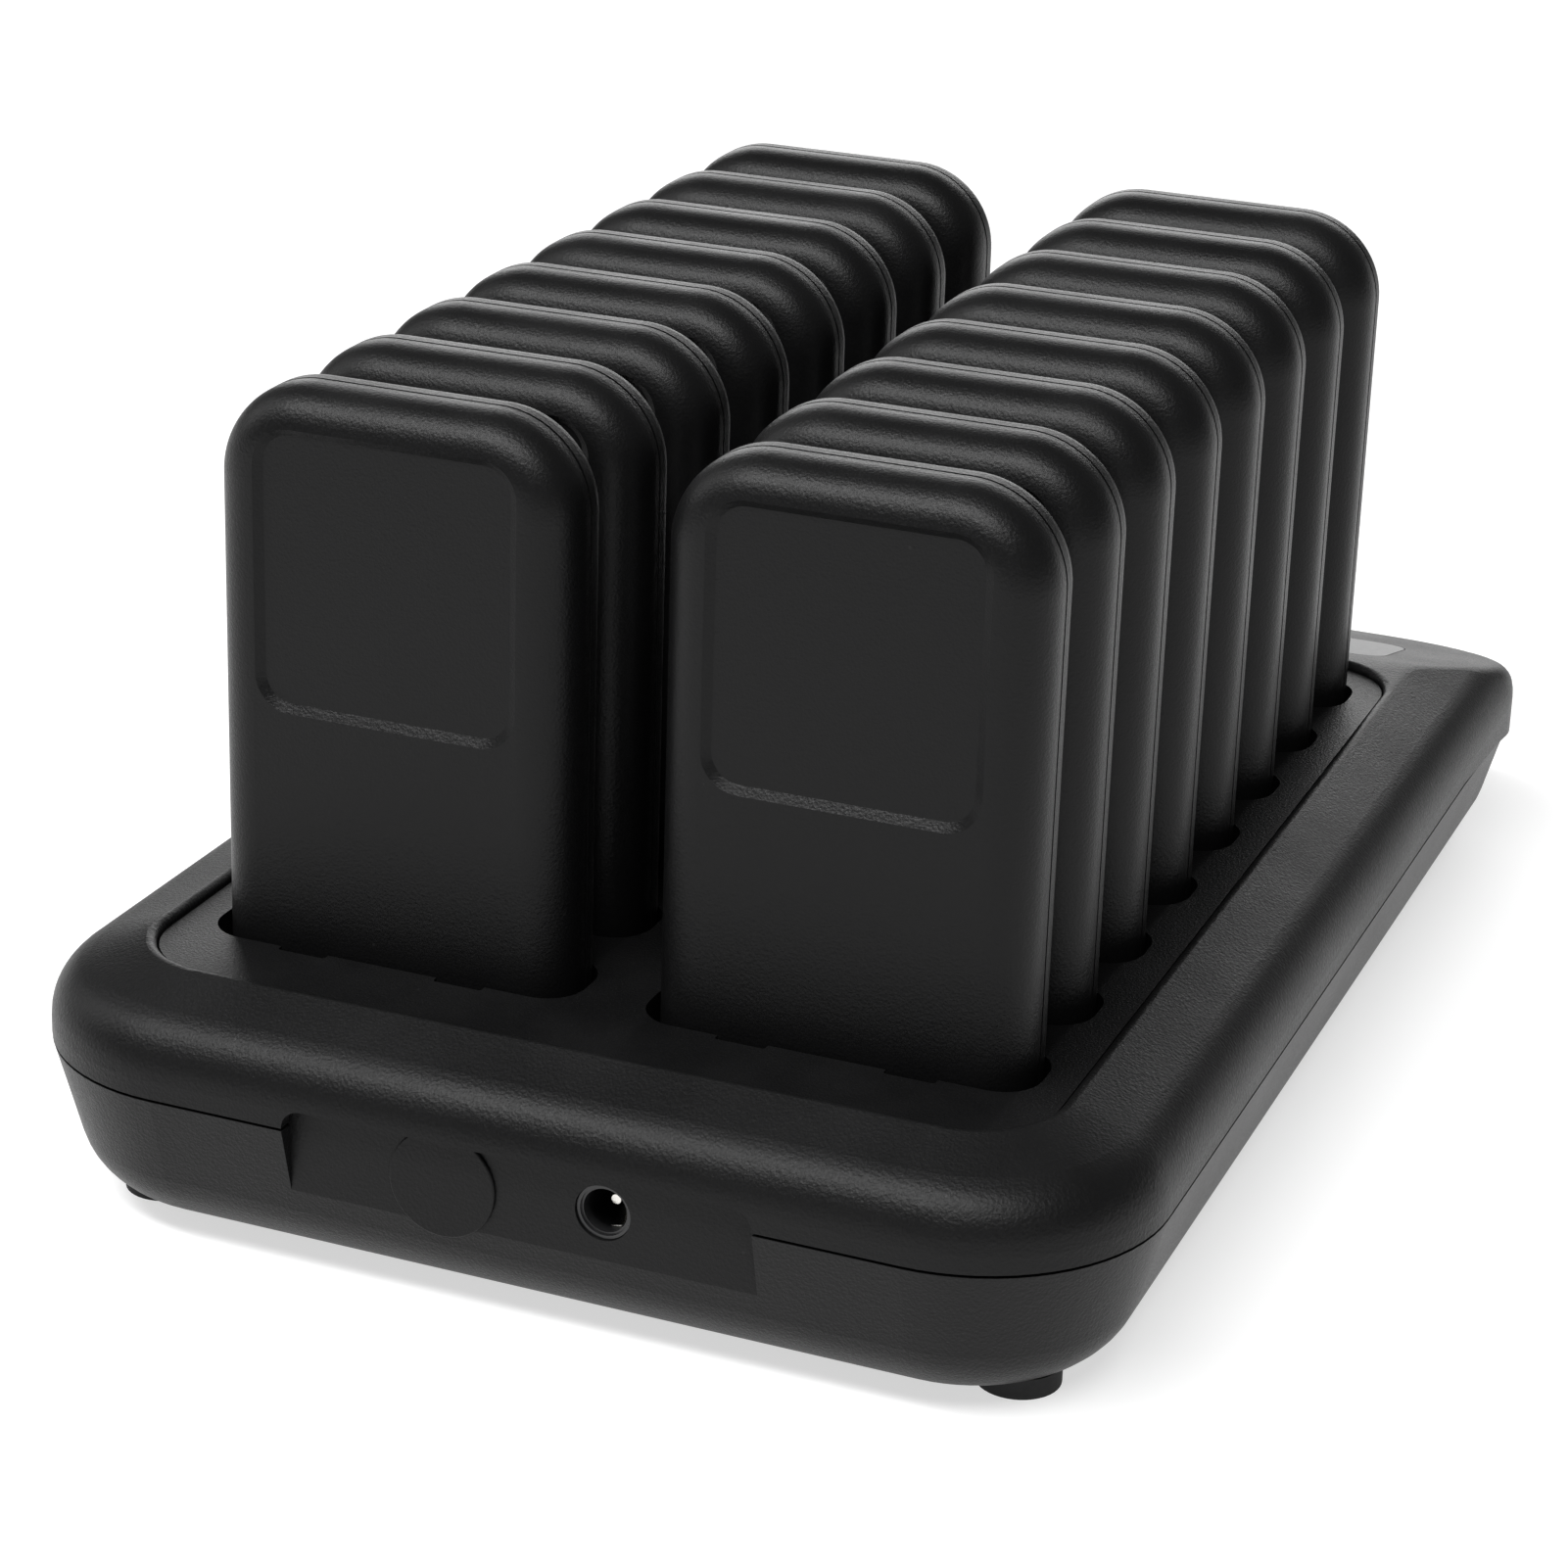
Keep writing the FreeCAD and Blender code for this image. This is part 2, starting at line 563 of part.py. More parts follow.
def make_tray():
    """Tray insert: plate, flange and sixteen wells with notches and pin holes."""
    body = new_body("slot_tray")
    surface = "crest_height - tray_sink"
    sketch = new_sketch(body, "TrayPlate", level=surface)
    draw_rectangle(sketch, "tray_width - 2 * tray_gap", "tray_length - 2 * tray_gap",
                   "tray_corner - tray_gap", y="tray_middle")
    pad(body, "Plate", sketch, "tray_plate", reverse=True)
    sketch = new_sketch(body, "TrayFlange", level=f"{surface} - tray_plate")
    draw_rectangle(sketch, "tray_width + 2 * flange", "tray_length + 2 * flange", "tray_corner + flange",
                   y="tray_middle")
    pad(body, "Flange", sketch, "flange_thick", reverse=True)
    columns = ("column_x", "0 - column_x")
    sketch = new_sketch(body, "WellOutline", level=f"{surface} - tray_plate - flange_thick / 2")
    for column in columns:
        draw_rectangle(sketch, "slot_length + 2 * well_wall", "slot_width + 2 * well_wall",
                       "slot_corner + well_wall", x=column, y="first_row")
    well_top = f"{surface} - tray_plate - flange_thick / 2"
    well = pad(body, "Wells", sketch, f"{well_top} - slot_floor + floor_thick", reverse=True)
    sketch = new_sketch(body, "SlotOutline", level=surface)
    for column in columns:
        draw_rectangle(sketch, "slot_length", "slot_width", "slot_corner", x=column, y="first_row")
    slot = pocket(body, "Slots", sketch, f"{surface} - slot_floor")
    sketch = new_sketch(body, "NotchOutline", level=surface)
    for column in columns:
        for side in ("notch_x", "( 0 - notch_x )"):
            draw_rectangle(sketch, "notch_width", "2 * notch_depth", "0.5", x=f"{column} + {side}",
                           y="first_row - slot_width / 2")
    notch = pocket(body, "Notches", sketch, "tray_plate + flange_thick")
    sketch = new_sketch(body, "PinHoleOutline", level="slot_floor")
    for column in columns:
        for side in ("pad_x", "( 0 - pad_x )"):
            draw_circle(sketch, "pin_hole", f"{column} + {side}", "first_row + pager_back + pad_y")
    hole = pocket(body, "PinHoles", sketch, "3")
    pattern = body.newObject("PartDesign::LinearPattern", "Rows")
    pattern.Originals = [well, slot, notch, hole]
    y_axis = next(item for item in body.Origin.OriginFeatures if item.Role == "Y_Axis")
    pattern.Direction = (y_axis, [""])
    pattern.setExpression("Occurrences", S("rows"))
    pattern.setExpression("Length", S("row_pitch * ( rows - 1 )"))
    body.Tip = pattern
    doc.recompute()
    return body


# ---------------------------------------------------------------- pager

def slot_place(index):
    """Return the place of a docked pager: bottom middle, on its seam plane."""
    column, row = index % 2, index // 2
    x = size(S("column_x")) * (1 if column else -1)
    y = size(S("first_row + pager_back")) + row * size(S("row_pitch"))
    return FreeCAD.Vector(x, y, size(S("pager_bottom")))


def draw_pager_outline(sketch, inset):
    """Draw the front view of a pager, moved in by inset."""
    draw_rectangle(sketch, f"pager_width - 2 * {inset}", f"pager_height - 2 * {inset}",
                   f"pager_corner - {inset}", y="pager_height / 2")


def shell_screws():
    """Return the four screw places of a pager, as expressions."""
    return [(x, z) for x in ("shell_screw_x", "0 - shell_screw_x")
            for z in ("shell_screw_low", "shell_screw_high")]


def make_front_shell(label):
    """Front shell of a pager: soft front edge, recessed face and screw posts."""
    body = new_body(label)
    sketch = new_sketch(body, "FrontOutline", "XZ_Plane", "groove")
    draw_pager_outline(sketch, "0")
    pad(body, "FrontBlock", sketch, "front_depth - groove")
    face = -size(S("front_depth"))
    fillet(body, "FrontEdge", "front_round", lambda edge: abs(middle_of(edge).y - face) < 0.01)
    sketch = new_sketch(body, "FrontTongue", "XZ_Plane", "0")
    draw_pager_outline(sketch, "groove_depth")
    pad(body, "Tongue", sketch, "groove")
    sketch = new_sketch(body, "FrontInside", "XZ_Plane", "0")
    draw_pager_outline(sketch, "shell_wall")
    pocket(body, "FrontHollow", sketch, "2.5", reverse=True)
    sketch = new_sketch(body, "FrontDeep", "XZ_Plane", "0")
    draw_pager_outline(sketch, "5")
    pocket(body, "DeepHollow", sketch, "front_depth - shell_wall - recess_depth", reverse=True)
    sketch = new_sketch(body, "FaceRecess", "XZ_Plane", "front_depth")
    draw_rectangle(sketch, "recess_width", "recess_height", "recess_corner", y="recess_middle")
    recess = pocket(body, "Recess", sketch, "recess_depth")
    recess.TaperAngle = -size(S("recess_wall_angle"))
    doc.recompute()
    sketch = new_sketch(body, "PostOutline", "XZ_Plane", "0")
    for x, z in shell_screws():
        draw_circle(sketch, "shell_post_radius", x, z)
    pad(body, "Posts", sketch, "front_depth - shell_wall - recess_depth")
    sketch = new_sketch(body, "PostHoles", "XZ_Plane", "0")
    for x, z in shell_screws():
        draw_circle(sketch, "shell_screw_radius", x, z)
    pocket(body, "PostBores", sketch, "5", reverse=True)
    return body


def make_rear_shell(label):
    """Rear shell of a pager: screw bores and seats for the charging pads."""
    body = new_body(label)
    sketch = new_sketch(body, "RearOutline", "XZ_Plane", "0 - groove")
    draw_pager_outline(sketch, "0")
    pad(body, "RearBlock", sketch, "rear_depth - groove", reverse=True)
    back = size(S("rear_depth"))
    fillet(body, "RearEdge", "rear_round", lambda edge: abs(middle_of(edge).y - back) < 0.01)
    sketch = new_sketch(body, "RearTongue", "XZ_Plane", "0")
    draw_pager_outline(sketch, "groove_depth")
    pad(body, "Tongue", sketch, "groove", reverse=True)
    sketch = new_sketch(body, "RearInside", "XZ_Plane", "0")
    draw_pager_outline(sketch, "shell_wall")
    pocket(body, "RearHollow", sketch, "rear_depth - shell_wall")
    sketch = new_sketch(body, "RearPosts", "XZ_Plane", "0")
    for x, z in shell_screws():
        draw_circle(sketch, "shell_post_radius", x, z)
    pad(body, "Posts", sketch, "rear_depth - shell_wall", reverse=True)
    sketch = new_sketch(body, "RearBores", "XZ_Plane", "0")
    for x, z in shell_screws():
        draw_circle(sketch, "shell_screw_radius", x, z)
    pocket(body, "Bores", sketch, "rear_depth")
    sketch = new_sketch(body, "HeadSeats", "XZ_Plane", "0 - rear_depth")
    for x, z in shell_screws():
        draw_circle(sketch, "shell_head_radius", x, z)
    pocket(body, "Seats", sketch, "shell_head_thick", reverse=True)
    sketch = new_sketch(body, "PadSeats")
    for x in ("pad_x", "0 - pad_x"):
        draw_rectangle(sketch, "pad_width", "pad_depth", "0.2", x=x, y="pad_y")
    pocket(body, "PadRecesses", sketch, "pad_thick", reverse=True)
    return body


def block(name, width, depth, height, x, y, z):
    """Make a parametric box with its lowest, front, left corner at a place."""
    box = doc.addObject("Part::Box", name)
    for prop, expression in (("Length", width), ("Width", depth), ("Height", height)):
        box.setExpression(prop, S(expression))
    for axis, expression in (("x", x), ("y", y), ("z", z)):
        box.setExpression(f"Placement.Base.{axis}", S(expression))
    return box


def rod(name, radius, length, x, y, z, direction=Z_AXIS):
    """Make a parametric cylinder that starts at a place and runs along a direction."""
    cylinder = doc.addObject("Part::Cylinder", name)
    cylinder.setExpression("Radius", S(radius))
    cylinder.setExpression("Height", S(length))
    cylinder.Placement.Rotation = FreeCAD.Rotation(Z_AXIS, direction)
    for axis, expression in (("x", x), ("y", y), ("z", z)):
        cylinder.setExpression(f"Placement.Base.{axis}", S(expression))
    return cylinder


def group(label, items, place=None):
    """Join separate solids into one node and put it at a place."""
    compound = doc.addObject("Part::Compound", label)
    compound.Label = label
    compound.Links = items
    if place is not None:
        compound.Placement.Base = place
    doc.recompute()
    return compound


def pager_core(prefix):
    """Return the board, battery, motor, buzzer, pads and screws of a pager."""
    back = FreeCAD.Vector(0, -1, 0)
    board = block(f"{prefix}_board_solid", "pcb_width", "pcb_thick", "pcb_height",
                  "0 - pcb_width / 2", "pcb_front", "( pager_height - pcb_height ) / 2")
    cell = block(f"{prefix}_battery_solid", "cell_width", "cell_thick", "cell_height",
                 "0 - cell_width / 2", "pcb_front - cell_thick", "cell_middle - cell_height / 2")
    motor = rod(f"{prefix}_motor_solid", "motor_radius", "motor_length",
                "0 - motor_length / 2", "pcb_front - motor_radius", "motor_level", X_AXIS)
    buzzer = rod(f"{prefix}_buzzer_solid", "buzzer_radius", "buzzer_thick", "0", "pcb_front",
                 "buzzer_level", back)
    pads = [block(f"{prefix}_pad_solid", "pad_width - 0.1", "pad_depth - 0.1", "pad_thick",
                  f"{x} - pad_width / 2 + 0.05", "pad_y - pad_depth / 2 + 0.05", "0")
            for x in ("pad_x", "0 - pad_x")]
    screws = [shell_screw(prefix, x, z) for x, z in shell_screws()]
    return board, cell, motor, buzzer, pads, screws


def shell_screw(prefix, x, z):
    """Make one pan-head screw that enters from the back of a pager."""
    back = FreeCAD.Vector(0, -1, 0)
    head = rod(f"{prefix}_head", "shell_head_radius - 0.1", "shell_head_thick - 0.1",
               x, "rear_depth - 0.1", z, back)
    thread = rod(f"{prefix}_thread", "shell_screw_radius - 0.02", "7",
                 x, "rear_depth - shell_head_thick", z, back)
    screw = doc.addObject("Part::Fuse", f"{prefix}_screw_solid")
    screw.Base, screw.Tool = head, thread
    return screw


def make_pager(index):
    """Build one pager at its slot; only the first one keeps its inner parts apart."""
    prefix = f"pager_{index + 1:02d}"
    place = slot_place(index)
    front = make_front_shell(f"{prefix}_front_shell")
    front.Placement.Base = place
    if index == 0:
        rear = make_rear_shell(f"{prefix}_rear_shell")
        rear.Placement.Base = place
        board, cell, motor, buzzer, pads, screws = pager_core(prefix)
        nodes = [
            ("circuit_board", [board]),
            ("battery", [cell]),
            ("vibration_motor", [motor]),
            ("buzzer", [buzzer]),
            ("charging_pads", pads),
            ("screws", screws),
            ("lamps", pager_lamps(prefix)),
        ]
        for name, items in nodes:
            NODES.append(group(f"{prefix}_{name}", items, place))
        return
    rear = make_rear_shell(f"{prefix}_rear_body")
    NODES.remove(rear)
    board, cell, motor, buzzer, pads, screws = pager_core(prefix)
    NODES.append(group(f"{prefix}_rear_shell", [rear, board, cell] + pads + screws, place))


def pager_lamps(prefix):
    """Return six small lamps along the upper edges of the pager board."""
    places = [(x, z) for z in ("62", "72", "82") for x in ("17", "0 - 20")]
    return [block(f"{prefix}_lamp_solid", "3", "1.4", "1.6", x, "pcb_front - 1.4", z) for x, z in places]


# ---------------------------------------------------------------- inside the case

def make_feet():
    """Four round rubber feet."""
    feet = [rod("foot", "foot_radius", "foot_height", x, y, "0")
            for across, y in FEET for x in (across, f"0 - {across}")]
    NODES.append(group("rubber_feet", feet))


def make_board():
    """Charging board with screw holes over the posts."""
    body = new_body("charging_board")
    sketch = new_sketch(body, "BoardOutline", level="board_bottom")
    draw_rectangle(sketch, "board_width", "board_length", "board_corner", y="board_middle")
    draw_circles(sketch, "board_screw + 0.3", [("post_x", y) for y in POSTS])
    pad(body, "Board", sketch, "board_thick")


def make_pins():
    """Two spring pins under each pager."""
    top = "board_bottom + board_thick"
    pins = []
    for row in range(int(size(S("rows")))):
        y = f"first_row + pager_back + pad_y + {row} * row_pitch"
        for column in ("column_x", "0 - column_x"):
            for side in ("pad_x", "( 0 - pad_x )"):
                barrel = rod("pin_barrel", "pin_barrel", "2.4", f"{column} + {side}", y, top)
                tip = rod("pin_tip", "pin_radius", f"pager_bottom - pin_gap - ( {top} )",
                          f"{column} + {side}", y, top)
                pin = doc.addObject("Part::Fuse", "spring_pin")
                pin.Base, pin.Tool = barrel, tip
                pins.append(pin)
    NODES.append(group("charging_pins", pins))


def make_board_parts():
    """Coils, capacitors and regulators behind the last row, and the radio module."""
    top = "board_bottom + board_thick"
    parts = [
        block("choke", "12", "12", "7", "0 - 47", "80", top),
        block("regulator", "10", "9", "3", "0 - 30", "82", top),
        block("driver", "9", "9", "1.6", "24", "82", top),
    ]
    parts += [rod("capacitor", "4", "9", x, "87", top) for x in ("0 - 14", "0 - 4", "6")]
    NODES.append(group("board_components", parts))
    NODES.append(group("radio_module", [block("radio_can", "18", "13", "3.2", "38", "81", top)]))


def make_screws():
    """Six board screws and six case screws."""
    down = FreeCAD.Vector(0, 0, -1)
    board, case = [], []
    top = "board_bottom + board_thick"
    for y in POSTS:
        for x in ("post_x", "0 - post_x"):
            head = rod("board_head", "board_head", "board_head_thick", x, y, top)
            thread = rod("board_thread", "board_screw - 0.02", "8", x, y, top, down)
            board.append(doc.addObject("Part::Fuse", "board_screw_solid"))
            board[-1].Base, board[-1].Tool = head, thread
    for across, y in BOSSES:
        for x in (across, f"0 - {across}"):
            head = rod("case_head", "case_head", "1.8", x, y, "case_head_level - 1.8")
            thread = rod("case_thread", "case_screw - 0.02", "boss_split + 6 - case_head_level",
                         x, y, "case_head_level")
            case.append(doc.addObject("Part::Fuse", "case_screw_solid"))
            case[-1].Base, case[-1].Tool = head, thread
    NODES.append(group("board_screws", board))
    NODES.append(group("case_screws", case))


def make_socket():
    """Power socket: housing with a blind bore, centre pin and spring contact."""
    back = FreeCAD.Vector(0, 1, 0)
    front_face = "0 - panel_plane + wall"
    housing = block("socket_block", "jack_width", "jack_length", "jack_top - board_bottom - board_thick",
                    "jack_x - jack_width / 2", front_face, "board_bottom + board_thick")
    bore = rod("socket_bore", "jack_bore", "jack_length - 3", "jack_x", front_face, "jack_height", back)
    cut = doc.addObject("Part::Cut", "power_socket")
    cut.Label = "power_socket"
    cut.Base, cut.Tool = housing, bore
    NODES.append(cut)
    pin = rod("socket_pin_rod", "jack_pin", "jack_length - 5", "jack_x", f"{front_face} + 2",
              "jack_height", back)
    NODES.append(group("socket_pin", [pin]))


def make_plug():
    """Blanking plug in the second hole of the socket panel."""
    body = new_body("blanking_plug")
    sketch = new_sketch(body, "PlugFlange", "XZ_Plane", "panel_plane")
    draw_circle(sketch, "plug_radius", "plug_x", "plug_height")
    pad(body, "Flange", sketch, "plug_proud")
    face = -size(S("panel_plane + plug_proud"))
    fillet(body, "FlangeEdge", "plug_proud / 2", lambda edge: abs(middle_of(edge).y - face) < 0.01)
    sketch = new_sketch(body, "PlugStem", "XZ_Plane", "panel_plane")
    draw_circle(sketch, "plug_stem - 0.05", "plug_x", "plug_height")
    pad(body, "Stem", sketch, "wall + 1", reverse=True)


def main():
    """Build every node, check the document and write the STEP files."""
    make_lower_case()
    make_upper_case()
    make_window()
    make_tray()
    make_feet()
    make_board()
    make_pins()
    make_board_parts()
    make_screws()
    make_socket()
    make_plug()
    for index in range(2 * int(size(S("rows")))):
        make_pager(index)
    doc.recompute()
    for item in doc.Objects:
        if "Invalid" in item.State or "Error" in item.State:
            raise RuntimeError(f"{item.Label} failed: {item.State}")
    os.makedirs("parts", exist_ok=True)
    for node in NODES:
        shape = node.Shape
        if shape.isNull() or not shape.isValid():
            raise RuntimeError(f"{node.Label} has no valid shape")
        shape.exportStep(f"parts/{node.Label}.step")
        box = shape.optimalBoundingBox()
        print(f"{node.Label}: {len(shape.Solids)} solids, {shape.Volume / 1000:.2f} cm3, "
              f"x {box.XMin:.1f}..{box.XMax:.1f} y {box.YMin:.1f}..{box.YMax:.1f} "
              f"z {box.ZMin:.1f}..{box.ZMax:.1f}")


main()
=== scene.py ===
import logging
import math
from dataclasses import dataclass
from enum import Enum
from typing import Callable, Union

import bmesh
import bpy
from mathutils import Matrix, Vector


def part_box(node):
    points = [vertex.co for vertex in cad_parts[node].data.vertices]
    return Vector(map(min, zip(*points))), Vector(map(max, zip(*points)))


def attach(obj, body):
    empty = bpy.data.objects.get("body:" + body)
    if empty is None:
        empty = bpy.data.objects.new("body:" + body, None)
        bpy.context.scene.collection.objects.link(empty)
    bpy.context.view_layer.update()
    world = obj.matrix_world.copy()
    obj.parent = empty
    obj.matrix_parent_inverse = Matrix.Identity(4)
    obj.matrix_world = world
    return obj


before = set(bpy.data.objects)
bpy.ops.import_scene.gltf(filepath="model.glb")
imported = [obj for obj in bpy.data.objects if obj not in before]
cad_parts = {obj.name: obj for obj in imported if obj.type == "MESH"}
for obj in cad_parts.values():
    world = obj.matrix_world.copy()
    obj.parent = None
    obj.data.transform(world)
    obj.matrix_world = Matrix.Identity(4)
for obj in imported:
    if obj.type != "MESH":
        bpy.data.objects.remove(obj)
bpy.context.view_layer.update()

LOG = logging.getLogger("station")
MM = 0.001

Number = Union[int, float]
Colour = tuple[float, float, float]
Point = tuple[float, float, float]


class Signal:
    """A shader socket that takes part in ordinary Python arithmetic."""

    def __init__(self, bench: "Bench", socket: bpy.types.NodeSocket) -> None:
        """Wrap an output socket of the bench's node tree."""
        self.bench = bench
        self.socket = socket

    def _math(self, operation: str, *values: Union["Signal", Number]) -> "Signal":
        """Add a Math node and return its result."""
        inputs = {index: value for index, value in enumerate(values)}
        return self.bench.node("ShaderNodeMath", {"operation": operation}, inputs)

    def __add__(self, other: Union["Signal", Number]) -> "Signal":
        """Return the sum."""
        return self._math("ADD", self, other)

    __radd__ = __add__

    def __sub__(self, other: Union["Signal", Number]) -> "Signal":
        """Return the difference."""
        return self._math("SUBTRACT", self, other)

    def __rsub__(self, other: Number) -> "Signal":
        """Return a number less this signal."""
        return self._math("SUBTRACT", other, self)

    def __mul__(self, other: Union["Signal", Number]) -> "Signal":
        """Return the product."""
        return self._math("MULTIPLY", self, other)

    __rmul__ = __mul__

    def above(self, edge: Number) -> "Signal":
        """Return 1 where this signal is over an edge, else 0."""
        return self._math("GREATER_THAN", self, edge)

    def below(self, edge: Number) -> "Signal":
        """Return 1 where this signal is under an edge, else 0."""
        return self._math("LESS_THAN", self, edge)

    def ramp(self, low: Number, high: Number) -> "Signal":
        """Return a soft step from 0 at low to 1 at high."""
        settings = {"interpolation_type": "SMOOTHSTEP"}
        inputs = {"Value": self, "From Min": low, "From Max": high}
        return self.bench.node("ShaderNodeMapRange", settings, inputs)


class Bench:
    """The node tree of one material, with one method that adds any node."""

    def __init__(self, name: str) -> None:
        """Start a material with a bare Principled shader."""
        self.material = bpy.data.materials.new(name)
        self.material.use_nodes = True
        self.tree = self.material.node_tree
        self.shader = next(node for node in self.tree.nodes if node.type == "BSDF_PRINCIPLED")

    def node(self, kind: str, settings: dict, inputs: dict, output: Union[str, int] = 0) -> Signal:
        """Add a node.

        Args:
            kind: The node's type name.
            settings: Attributes of the node, set before its sockets.
            inputs: Values or signals by socket name or index.
            output: The output to return.

        Returns:
            The chosen output as a signal.
        """
        node = self.tree.nodes.new(kind)
        for key, value in settings.items():
            setattr(node, key, value)
        for key, value in inputs.items():
            self.connect(node.inputs[key], value)
        return Signal(self, node.outputs[output])

    def connect(self, socket: bpy.types.NodeSocket, value: object) -> None:
        """Link a signal to a socket, or set the socket's own value."""
        if isinstance(value, Signal):
            self.tree.links.new(value.socket, socket)
        else:
            socket.default_value = value

    def set(self, **values: object) -> None:
        """Give the Principled shader values or signals, by socket name with _ for a space."""
        for key, value in values.items():
            self.connect(self.shader.inputs[key.replace("_", " ")], value)

    def place(self) -> Signal:
        """Return the object coordinates, in metres."""
        return self.node("ShaderNodeTexCoord", {}, {}, "Object")

    def sampled(self, size_mm: Number) -> dict[str, object]:
        """Return the inputs of a texture whose features are about a size in millimetres."""
        return {"Vector": self.place(), "Scale": 1.0 / (size_mm * MM)}

    def noise(self, size_mm: Number, detail: Number = 2.0, roughness: Number = 0.5) -> Signal:
        """Return noise whose features are about a size in millimetres."""
        inputs = self.sampled(size_mm) | {"Detail": detail, "Roughness": roughness}
        return self.node("ShaderNodeTexNoise", {}, inputs, "Fac")

    def cells(self, size_mm: Number) -> Signal:
        """Return the distance to the nearest of scattered points about a size apart."""
        return self.node("ShaderNodeTexVoronoi", {}, self.sampled(size_mm), "Distance")

    def upward(self) -> Signal:
        """Return how much the surface faces up, from 0 to 1."""
        normal = self.node("ShaderNodeNewGeometry", {}, {}, "Normal")
        lift = self.node("ShaderNodeSeparateXYZ", {}, {"Vector": normal}, "Z")
        return lift.ramp(0.5, 1.0)

    def tracks(self, pitch_mm: Number, width: Number = 0.07) -> Signal:
        """Return 1 on scattered straight tracks.

        Args:
            pitch_mm: How far apart they run, in millimetres.
            width: Their width, as a part of the pitch.

        Returns:
            1 on a track, else 0.
        """
        inputs = self.sampled(pitch_mm) | {"Randomness": 0.85}
        squares = {"distance": "CHEBYCHEV"}
        near = self.node("ShaderNodeTexVoronoi", squares, inputs, "Distance")
        next_near = self.node("ShaderNodeTexVoronoi", squares | {"feature": "F2"}, inputs, "Distance")
        return (next_near - near).below(width)

    def blend(self, mask: Signal, low: Union[Signal, Colour], high: Colour) -> Signal:
        """Return a colour between two, by a mask."""
        start = low if isinstance(low, Signal) else (*low, 1.0)
        inputs = {0: mask, 6: start, 7: (*high, 1.0)}
        return self.node("ShaderNodeMix", {"data_type": "RGBA"}, inputs, 2)

    def bump(self, height: Signal, depth_mm: Number, strength: Number = 1.0) -> Signal:
        """Return a normal that is raised by a height signal."""
        inputs = {"Height": height, "Distance": depth_mm * MM, "Strength": strength}
        return self.node("ShaderNodeBump", {}, inputs)


@dataclass(frozen=True)
class ErodedPlastic:
    """Black plastic from a spark-eroded mould: fine pits, a few bright grains, a little dust."""

    name: str
    colour: Colour = (0.0026, 0.0026, 0.0027)
    roughness: float = 0.4
    grain_mm: float = 0.32
    depth_mm: float = 0.1
    specular: float = 0.18
    dust: float = 0.5
    cloud_mm: float = 24.0
    speck_mm: float = 6.5
    speck_share: float = 0.035
    patch_mm: float = 9.0

    def material(self) -> bpy.types.Material:
        """Build the finish as a material."""
        bench = Bench(self.name)
        grain = bench.noise(self.grain_mm, 3.0, 0.65)
        pits = bench.cells(self.grain_mm * 1.8)
        cloud = bench.noise(self.cloud_mm, 3.0)
        patches = bench.noise(self.patch_mm).above(0.52)
        speck = bench.cells(self.speck_mm).below(self.speck_share) * patches
        lighter = tuple(channel * 2.1 for channel in self.colour)
        dusty = tuple(channel * 3.0 + 0.01 for channel in self.colour)
        film = bench.upward() * cloud.ramp(0.35, 0.75) * (0.35 * self.dust)
        base = bench.blend(grain * 0.7 + cloud * 0.3, self.colour, lighter)
        base = bench.blend(film + speck * self.dust, base, dusty)
        bench.set(Base_Color=base, Specular_IOR_Level=self.specular)
        bench.set(Roughness=self.roughness + (grain - 0.5) * 0.34 + (cloud - 0.5) * 0.08 + film * 0.3)
        bench.set(Normal=bench.bump(grain * 0.6 + pits * 0.4, self.depth_mm))
        return bench.material


@dataclass(frozen=True)
class GlossyPlate:
    """Smooth smoked plate with hairline scuffs."""

    name: str
    colour: Colour = (0.1, 0.1, 0.103)
    roughness: float = 0.26
    cloud_mm: float = 14.0
    scuff_mm: float = 1.2

    def material(self) -> bpy.types.Material:
        """Build the finish as a material."""
        bench = Bench(self.name)
        cloud = bench.noise(self.cloud_mm, 3.0)
        scuff = bench.noise(self.scuff_mm, 4.0, 0.7)
        darker = tuple(channel * 0.8 for channel in self.colour)
        bench.set(Base_Color=bench.blend(cloud, darker, self.colour), Specular_IOR_Level=0.3)
        bench.set(Roughness=self.roughness + scuff * 0.12, Normal=bench.bump(cloud, 0.02, 0.25))
        return bench.material


class Surface(Enum):
    """How the surface of a plain finish was made."""

    MOULDED = "moulded"
    BRUSHED = "brushed"
    CAST = "cast"


@dataclass(frozen=True)
class PlainFinish:
    """A finish with one colour, a slight mottle and the marks of how it was made."""

    name: str
    colour: Colour
    roughness: float = 0.5
    metallic: float = 0.0
    grain_mm: float = 0.5
    surface: Surface = Surface.MOULDED
    cloud_mm: float = 9.0

    def marks(self, bench: Bench) -> Signal:
        """Return the height of the surface marks."""
        if self.surface is Surface.BRUSHED:
            stretch = {"Vector": bench.place(), "Scale": (1.0, 1.0, 0.08)}
            along = bench.node("ShaderNodeMapping", {}, stretch)
            inputs = {"Vector": along, "Scale": 1.0 / (self.grain_mm * MM), "Detail": 3.0}
            return bench.node("ShaderNodeTexNoise", {}, inputs, "Fac")
        if self.surface is Surface.CAST:
            return bench.cells(self.grain_mm) * 0.6 + bench.noise(self.grain_mm * 0.5) * 0.4
        return bench.noise(self.grain_mm)

    def material(self) -> bpy.types.Material:
        """Build the finish as a material."""
        bench = Bench(self.name)
        marks = self.marks(bench)
        cloud = bench.noise(self.cloud_mm)
        darker = tuple(channel * 0.75 for channel in self.colour)
        base = bench.blend(cloud * 0.6 + marks * 0.4, darker, self.colour)
        bench.set(Base_Color=base, Metallic=self.metallic)
        bench.set(Roughness=self.roughness + (cloud - 0.5) * 0.1 + (marks - 0.5) * 0.14)
        bench.set(Normal=bench.bump(marks, 0.02, 0.4))
        return bench.material


